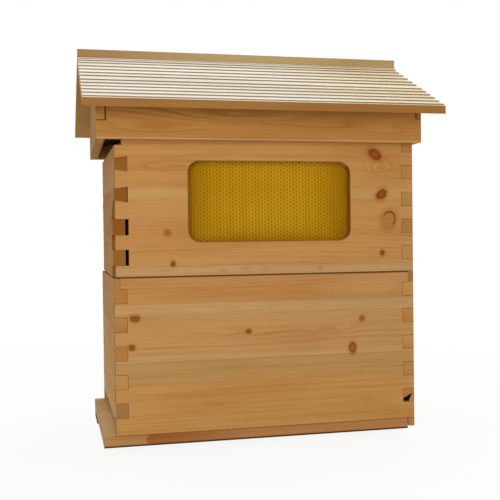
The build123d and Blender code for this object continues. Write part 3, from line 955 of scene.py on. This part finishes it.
eased_board("roof_left_gable", gable_pine)
lower_finger(eased_board("roof_right_gable", gable_pine))
cleat_pine = pine("cleat_pine", "X", "Z", "Y", [(540.0, (180, 138, 86))], seed=14.0)
for side in ("front", "back"):
    eased_board(f"roof_{side}_cleat", cleat_pine, ease=batten_ease)

# Inner cover

# Painted shade for the cover's underside
painted_cover_shade = tone(56, 36, 18)


def cover_faces(s, base, place, normal):
    """The underside, painted dark as the shade inside the hive."""
    return s.mix(s.faces_against(normal["Z"]), base, painted_cover_shade)


cover_planks = [(-165.0, (196, 158, 108)), (-55.0, (190, 150, 98)), (65.0, (198, 160, 112))]
cover_pine = pine("cover_pine", "X", "Y", "Z", cover_planks, seed=15.0, faces=cover_faces)
eased_board("inner_cover", cover_pine, ease=panel_ease)

# Wax, plastic and the clear pane

tint_span = (0.35, 0.7)
sheen_span = (0.3, 0.7)
cell_print_scale = 190.0
cell_print_unevenness = 0.25
wax_cloud_scale = 14.0
wax_glow_reach = (0.003, 0.002, 0.001)
plastic_flow_scale = (9.0, 40.0, 22.0)
plastic_grit_scale = 900.0
plastic_glow_reach = (0.004, 0.003, 0.0008)
rubbing_scale = (60.0, 60.0, 380.0)
pane_bending = 1.02


def wax():
    """Pressed beeswax with faint cell prints."""
    s = Shading("foundation_wax")
    place = s.coordinates("Object")
    cells = s.nodes.new("ShaderNodeTexVoronoi")
    cells.inputs["Scale"].default_value = cell_print_scale
    cells.inputs["Randomness"].default_value = cell_print_unevenness
    s.links.new(s.point(place["X"], 0.0, place["Z"]), cells.inputs["Vector"])
    cloud = s.noise(s.point(*place.values()), scale=wax_cloud_scale)
    s.give("Base Color", s.mix(s.step(cloud, *tint_span), tone(222, 170, 74), tone(202, 146, 52)))
    s.give("Roughness", s.step(cloud, *sheen_span, 0.38, 0.52))
    s.give("Subsurface Weight", 0.15)
    s.give("Subsurface Radius", wax_glow_reach)
    s.bump(cells.outputs["Distance"], strength=0.4, distance=0.0008)
    return s.material


def plastic(name, colour, shadow, roughness, gloss=0.3, depth=0.0, marks=None):
    """Moulded plastic with faint flow marks."""
    s = Shading(name)
    place = s.coordinates("Object")
    flow = s.drawn_noise(place.values(), plastic_flow_scale, detail=3.0)
    grit = s.noise(s.point(*place.values()), scale=plastic_grit_scale)
    base = s.mix(s.step(flow, *tint_span), tone(*colour), tone(*shadow))
    if marks is not None:
        base = marks(s, base, place)
    s.give("Base Color", base)
    s.give("Roughness", s.step(flow, *sheen_span, roughness - 0.05, roughness + 0.07))
    s.give("Specular IOR Level", gloss)
    s.give("Subsurface Weight", depth)
    s.give("Subsurface Radius", plastic_glow_reach)
    s.bump(grit, strength=0.08, distance=0.0002)
    return s.material


def clear_pane():
    """A clear pane with faint rubbing marks, which lets light pass straight to the comb and back."""
    s = Shading("clear_pane")
    place = s.coordinates("Object")
    rubbing = s.drawn_noise(place.values(), rubbing_scale, detail=3.0)
    s.give("Base Color", white)
    s.give("Transmission Weight", 1.0)
    s.give("IOR", pane_bending)
    s.give("Roughness", s.step(rubbing, 0.45, 0.8, 0.01, 0.05))
    rays = s.rays()
    straight = s.math("MAXIMUM", rays["Is Shadow Ray"], rays["Is Diffuse Ray"])
    s.share_with(s.nodes.new("ShaderNodeBsdfTransparent"), straight)
    return s.material


# Honey comb cells behind the window, in millimetres

comb_middle = 9.15
finger_width = 11.0
finger_count = 38
running_gap = 0.05
comb_front = -143.6
comb_back = -96.4
comb_reach = 213.35
rail_height = 8.0
rail_overlap = 2.0
fixed_rail_low = 313.2
fixed_tip = 489.0
moving_tip = 322.2
moving_rail_low = 490.0
cell_side = finger_width / 3
cell_half = cell_side * math.sqrt(3) / 2
cell_columns = (0.75 * cell_side, 2.25 * cell_side)
cell_rows = 25
first_cell = 327.0
cell_open = 0.62
cell_wall = 0.9
cell_depth = 2.0
cell_floor = comb_front + cell_depth


def cell_outline(x, z, size, left, right):
    """A cell with flats at its top and bottom, cut straight where it passes a finger's side."""
    points = []
    for turn in range(6):
        angle = math.radians(60 * turn)
        points.append((x + size * math.cos(angle), z + size * math.sin(angle)))
    outline = []
    for i, (px, pz) in enumerate(points):
        if left <= px <= right:
            outline.append((px, pz))
            continue
        limit = left if px < left else right
        for beside in (points[i - 1], points[(i + 1) % 6]):
            share = (limit - px) / (beside[0] - px)
            outline.append((limit, pz + share * (beside[1] - pz)))
    return outline


def comb_finger(low, high):
    """Corners and faces of one finger: two columns of open cells on its front, closed elsewhere."""
    corners = {}
    faces = []

    def face(points):
        keys = [tuple(round(value, 4) for value in point) for point in points]
        faces.append([corners.setdefault(key, len(corners)) for key in keys])

    def front_face(points):
        face([(x, comb_front, z) for x, z in points])

    left = running_gap
    right = finger_width - running_gap
    levels = [[first_cell + cell_half * (2 * row + side) for row in range(cell_rows)] for side in range(2)]
    cut = (left - cell_columns[0] + cell_side) * math.sqrt(3)
    for x, heights in zip(cell_columns, levels):
        for z in heights:
            outer = cell_outline(x, z, cell_side, left, right)
            inner = cell_outline(x, z, cell_side * cell_open, left + cell_wall, right - cell_wall)
            for i in range(len(outer)):
                j = (i + 1) % len(outer)
                front_face([outer[i], outer[j], inner[j], inner[i]])
                (ax, az), (bx, bz) = inner[i], inner[j]
                face([(ax, comb_front, az), (bx, comb_front, bz), (bx, cell_floor, bz), (ax, cell_floor, az)])
            face([(px, cell_floor, pz) for px, pz in inner])

    # Slivers of the next finger's cells along both sides
    left_cells = (left, cell_columns[0] - cell_side / 2, levels[0])
    right_cells = (right, cell_columns[1] + cell_side / 2, levels[1])
    for edge, x, heights in (left_cells, right_cells):
        for z in heights[:-1]:
            front_face([(edge, z + cut), (x, z + cell_half), (edge, z + 2 * cell_half - cut)])

    # Plain ends above and below the cells
    for limit, way, row in ((low, -1, 0), (high, 1, -1)):
        line = [(left, levels[0][row] + way * cut)]
        for x, heights in zip(cell_columns, levels):
            line.append((x - cell_side / 2, heights[row] + way * cell_half))
            line.append((x + cell_side / 2, heights[row] + way * cell_half))
        line.append((right, levels[1][row] + way * cut))
        front_face(line + [(right, limit), (left, limit)])
        face([(x, y, limit) for x, y in ((left, comb_front), (right, comb_front),
                                         (right, comb_back), (left, comb_back))])

    # Sides and back
    for edge, heights in ((left, levels[0]), (right, levels[1])):
        line = [low] + [z + way * cut for z in heights for way in (-1, 1)] + [high]
        face([(edge, comb_front, z) for z in line] + [(edge, comb_back, high), (edge, comb_back, low)])
    face([(left, comb_back, low), (right, comb_back, low), (right, comb_back, high), (left, comb_back, high)])
    return list(corners), faces


def block_faces(x0, x1, y0, y1, z0, z1):
    """Corners and faces of a plain rail."""
    corners = [(x, y, z) for x in (x0, x1) for y in (y0, y1) for z in (z0, z1)]
    faces = [(0, 1, 3, 2), (4, 6, 7, 5), (0, 4, 5, 1), (2, 3, 7, 6), (0, 2, 6, 4), (1, 5, 7, 3)]
    return corners, faces


def comb_half(node, first, low, high, rail_low, material):
    """Every other finger of a comb and the rail that joins them."""
    finger_corners, finger_faces = comb_finger(low, high)
    start = comb_middle - finger_width * finger_count / 2
    corners, faces = block_faces(comb_middle - comb_reach, comb_middle + comb_reach, comb_front, comb_back,
                                 rail_low, rail_low + rail_height)
    for i in range(first, finger_count, 2):
        base = len(corners)
        corners += [(start + finger_width * i + x, y, z) for x, y, z in finger_corners]
        faces += [[base + index for index in face] for face in finger_faces]
    mesh = bpy.data.meshes.new(node + "_cells")
    mesh.from_pydata([Vector(corner) * millimetre for corner in corners], [], faces)
    shape = bmesh.new()
    shape.from_mesh(mesh)
    bmesh.ops.recalc_face_normals(shape, faces=shape.faces)
    shape.to_mesh(mesh)
    shape.free()
    piece = link(bpy.data.objects.new(node + "_cells", mesh))
    return finish_piece(piece, node, material)


# Colours of that comb

comb_heart_x = 11.0
comb_side_shade = (70.0, 145.0)
comb_foot_shade = (340.0, 375.0)
# Painted shade: darker towards the window's rim and inside the cells
painted_comb_shade = tone(168, 118, 8)
painted_cell_shade = tone(146, 102, 4)


def comb_gold(s, base, place):
    """The comb is painted darker towards its rim as the shade of the window's recess, and inside the cells as
    the shade in their hollows.
    """
    aside = s.math("ABSOLUTE", s.math("SUBTRACT", place["X"], comb_heart_x * millimetre))
    foot = s.border(place["Z"], *comb_foot_shade, start=0.55, end=0.0)
    rim = s.math("MAXIMUM", s.border(aside, *comb_side_shade), foot)
    base = s.mix(rim, base, painted_comb_shade)
    return s.mix(s.border(place["Y"], comb_front, cell_floor, end=0.55), base, painted_cell_shade)


fixed_gold = plastic("fixed_comb_plastic", (196, 151, 24), (190, 144, 20), 0.6, gloss=0.03, marks=comb_gold)
moving_gold = plastic("moving_comb_plastic", (193, 147, 22), (186, 140, 18), 0.6, gloss=0.03, marks=comb_gold)
fixed_low = fixed_rail_low + rail_height - rail_overlap
moving_high = moving_rail_low + rail_overlap
comb_half("flow_fixed_comb_1", 0, fixed_low, fixed_tip, fixed_rail_low, fixed_gold)
comb_half("flow_moving_comb_1", 1, moving_tip, moving_high, moving_rail_low, moving_gold)

# Queen excluder, which stops at the rear wall's lip

excluder_end = 253.5
excluder_plastic = plastic("excluder_plastic", (96, 60, 26), (80, 48, 20), 0.5)
sheet = cad["queen_excluder"].data.copy()
for vertex in sheet.vertices:
    vertex.co.x = min(vertex.co.x, excluder_end * millimetre)
finish_piece(link(bpy.data.objects.new("queen_excluder_sheet", sheet)), "queen_excluder", excluder_plastic)

# Materials of the pieces that keep their CAD shape, by slot

finishes = {
    "frame_pine": pine("frame_pine", "X", "Z", "Y", [(brood_foot, (214, 180, 132))], seed=16.0, contrast=0.4),
    "foundation_wax": wax(),
    "frame_plastic": plastic("frame_plastic", (168, 120, 30), (150, 104, 20), 0.4, depth=0.1),
    "comb_plastic": plastic("comb_plastic", (202, 158, 16), (196, 150, 12), 0.6, gloss=0.1),
    "cap_plastic": plastic("cap_plastic", (214, 172, 48), (196, 152, 34), 0.35),
    "excluder_plastic": excluder_plastic,
    "clear_pane": clear_pane(),
}
for node, piece in cad.items():
    if slot_of[node] in finishes:
        piece.data.materials.clear()
        piece.data.materials.append(finishes[slot_of[node]])

# Studio: a pale floor, soft lamps and a white surround

studio_reach = 6.0
studio_grey = (0.9, 0.9, 0.9, 1.0)
studio_roughness = 0.9
whitening = (0.3, 3.0)
least_white = 0.9
surround_light = 0.40


def studio_floor():
    """A large pale floor that keeps the shadow and whitens away from the hive."""
    shape = bmesh.new()
    bmesh.ops.create_grid(shape, x_segments=4, y_segments=4, size=studio_reach)
    mesh = bpy.data.meshes.new("studio_floor")
    shape.to_mesh(mesh)
    shape.free()
    floor = link(bpy.data.objects.new("studio_floor", mesh))
    s = Shading("studio_floor")
    s.give("Base Color", studio_grey)
    s.give("Roughness", studio_roughness)
    rays = s.rays()
    seen = s.math("MAXIMUM", rays["Is Camera Ray"], rays["Is Glossy Ray"])
    seen = s.math("MAXIMUM", seen, rays["Is Transmission Ray"])
    place = s.coordinates("Object")
    square = s.math("MULTIPLY_ADD", place["X"], place["X"], s.times(place["Y"], place["Y"]))
    glow = s.step(square, *whitening, least_white, 1.0)
    s.share_with(s.nodes.new("ShaderNodeEmission"), s.times(seen, glow))
    floor.data.materials.append(s.material)


def lamp(name, place, target, size, power):
    """A soft square lamp."""
    data = bpy.data.lights.new(name, "AREA")
    data.size = size
    data.energy = power
    light = link(bpy.data.objects.new(name, data))
    light.location = place
    light.rotation_euler = (Vector(target) - Vector(place)).to_track_quat("-Z", "Y").to_euler()


def surround():
    """A world that is white to the eye and in reflections, and lights softly."""
    world = bpy.data.worlds.new("surround")
    bpy.context.scene.world = world
    world.use_nodes = True
    s = Nodes(world.node_tree)
    rays = s.rays()
    first_hit = s.math("LESS_THAN", rays["Diffuse Depth"], 0.5)
    through = s.times(rays["Is Transmission Ray"], first_hit)
    seen = s.math("MAXIMUM", rays["Is Camera Ray"], rays["Is Glossy Ray"])
    background = s.nodes["Background"].inputs
    s.feed(background["Color"], white)
    s.feed(background["Strength"], s.step(s.math("MAXIMUM", seen, through), 0.0, 1.0, surround_light, 1.0))


studio_floor()
surround()
lamp("overhead", place=(0.0, 0.3, 2.4), target=(0.0, 0.0, 0.4), size=1.8, power=24.0)
lamp("front", place=(-0.9, -2.7, 0.75), target=(0.0, 0.0, 0.35), size=1.8, power=42.0)
lamp("back", place=(1.9, 2.3, 1.3), target=(0.0, 0.0, 0.35), size=2.2, power=30.0)

# Camera, where the photograph was taken from

camera_place = (-0.3385, -1.5204, 0.3515)
camera_heading = math.radians(13.0)
camera_dip = math.radians(-1.0)
camera_tilt = math.radians(-0.7)
lens_length = 60.64
film_width = 36.0


def photo_camera():
    """The camera, which looks along its heading, a little down and a little askew."""
    data = bpy.data.cameras.new("photo_camera")
    data.sensor_width = film_width
    data.lens = lens_length
    camera = link(bpy.data.objects.new("photo_camera", data))
    forward = math.cos(camera_dip)
    ahead = Vector((math.sin(camera_heading) * forward, math.cos(camera_heading) * forward,
                    math.sin(camera_dip)))
    level = Vector((math.cos(camera_heading), -math.sin(camera_heading), 0.0))
    upward = level.cross(ahead)
    side = level * math.cos(camera_tilt) + upward * math.sin(camera_tilt)
    top = upward * math.cos(camera_tilt) - level * math.sin(camera_tilt)
    turn = Matrix((side, top, -ahead)).transposed().to_4x4()
    camera.matrix_world = Matrix.Translation(camera_place) @ turn
    bpy.context.scene.camera = camera


photo_camera()
bpy.context.scene.view_settings.view_transform = "Standard"
